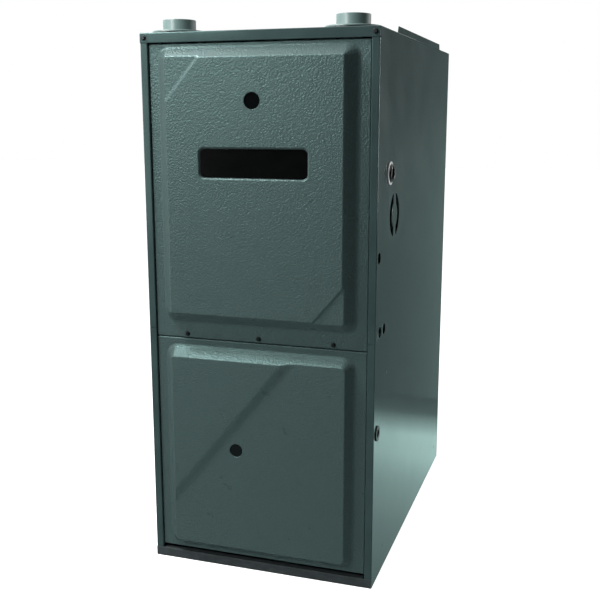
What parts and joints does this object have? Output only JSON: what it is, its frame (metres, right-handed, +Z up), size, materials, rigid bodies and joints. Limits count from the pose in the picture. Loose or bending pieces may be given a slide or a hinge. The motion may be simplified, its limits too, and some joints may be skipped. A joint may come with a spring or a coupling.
{
  "type": "forced air gas furnace",
  "caption": "Upright sheet metal forced air gas furnace with embossed lift-off doors, twin pipe collars, a top duct outlet and its burners, heat exchanger and blower inside.",
  "frame": {"origin": "centre of the underside of the base pan, midway between the face of the doors and the back of the cabinet", "axes": "+Z up, +X to the right seen from the front, -Y towards the front where the doors are"},
  "size_m": [0.4514, 0.7344, 1.041],
  "materials": {
    "grey_paint": "baked grey-green enamel, satin",
    "dark_paint": "dark grey enamel, satin",
    "galvanised_steel": "galvanised sheet steel",
    "aluminised_steel": "aluminised steel",
    "cast_alloy": "die-cast alloy",
    "grey_plastic": "moulded grey plastic",
    "black_plastic": "moulded black plastic",
    "black_rubber": "black rubber",
    "dark_glass": "dark tinted glass",
    "motor_paint": "dark motor paint",
    "black_steel": "black oxide steel",
    "green_board": "green circuit board",
    "ceramic": "white ceramic",
    "red_plastic": "red plastic"
  },
  "bodies": {
    "cabinet": {"left_side_panel": "grey_paint", "right_side_panel": "grey_paint", "rear_panel": "grey_paint", "base_pan": "dark_paint", "top_cover": "grey_paint", "supply_flange": "grey_paint", "centre_rail": "grey_paint", "blower_deck": "galvanised_steel", "vestibule_panel": "galvanised_steel", "intake_collar": "grey_plastic", "intake_gasket": "black_rubber", "flue_collar": "grey_plastic", "flue_gasket": "black_rubber", "gas_line_grommet": "black_rubber", "wiring_bushing": "black_plastic", "top_rail_screw_left": "black_steel", "top_rail_screw_right": "black_steel", "heat_exchanger_tube_1": "aluminised_steel", "heat_exchanger_tube_2": "aluminised_steel", "heat_exchanger_tube_3": "aluminised_steel", "rear_header": "aluminised_steel", "secondary_coil": "aluminised_steel", "coil_front_cover": "black_plastic", "burner_box": "galvanised_steel", "burner_rack": "aluminised_steel", "gas_manifold": "black_steel", "gas_valve": "cast_alloy", "igniter": "ceramic", "flame_sensor": "ceramic", "rollout_switch": "black_plastic", "inducer_housing": "black_plastic", "inducer_motor": "motor_paint", "flue_coupling": "black_rubber", "flue_pipe": "grey_plastic", "pressure_switch": "black_plastic", "drain_trap": "grey_plastic", "blower_housing": "galvanised_steel", "blower_motor": "motor_paint", "motor_bracket": "black_steel", "run_capacitor": "aluminised_steel", "control_bracket": "galvanised_steel", "control_board": "green_board", "transformer": "motor_paint", "door_switch": "black_plastic"},
    "upper_door": {"upper_door": "grey_paint", "nameplate": "black_plastic", "upper_sight_glass": "dark_glass", "door_screw_left": "black_steel", "door_screw_middle": "black_steel", "door_screw_right": "black_steel"},
    "lower_door": {"lower_door": "grey_paint", "lower_sight_glass": "dark_glass"},
    "blower_wheel": {"blower_wheel": "galvanised_steel"},
    "inducer_wheel": {"inducer_wheel": "black_plastic"},
    "gas_valve_knob": {"gas_valve_knob": "red_plastic"},
    "rollout_reset_button": {"rollout_reset_button": "red_plastic"},
    "door_switch_plunger": {"door_switch_plunger": "red_plastic"}
  },
  "joints": [
    {"name": "upper_door_pull", "type": "slide", "parent": "cabinet", "child": "upper_door", "axis": [0, -1, 0], "range_m": [0, 0.12]},
    {"name": "lower_door_pull", "type": "slide", "parent": "cabinet", "child": "lower_door", "axis": [0, -1, 0], "range_m": [0, 0.12]},
    {"name": "blower_wheel_spin", "type": "hinge", "parent": "cabinet", "child": "blower_wheel", "pos_m": [0, 0.0828, 0.2595], "axis": [1, 0, 0], "continuous": true},
    {"name": "inducer_wheel_spin", "type": "hinge", "parent": "cabinet", "child": "inducer_wheel", "pos_m": [0.09, -0.2252, 0.59], "axis": [0, 1, 0], "continuous": true},
    {"name": "gas_valve_turn", "type": "hinge", "parent": "cabinet", "child": "gas_valve_knob", "pos_m": [-0.06, -0.2857, 0.768], "axis": [0, 1, 0], "range_deg": [0, 90]},
    {"name": "rollout_reset_press", "type": "slide", "parent": "cabinet", "child": "rollout_reset_button", "axis": [0, 0, -1], "range_m": [0, 0.002], "stiffness_N_per_m": 400, "springref_m": -0.002},
    {"name": "door_switch_press", "type": "slide", "parent": "cabinet", "child": "door_switch_plunger", "axis": [0, 1, 0], "range_m": [0, 0.006], "stiffness_N_per_m": 300, "springref_m": -0.003}
  ]
}
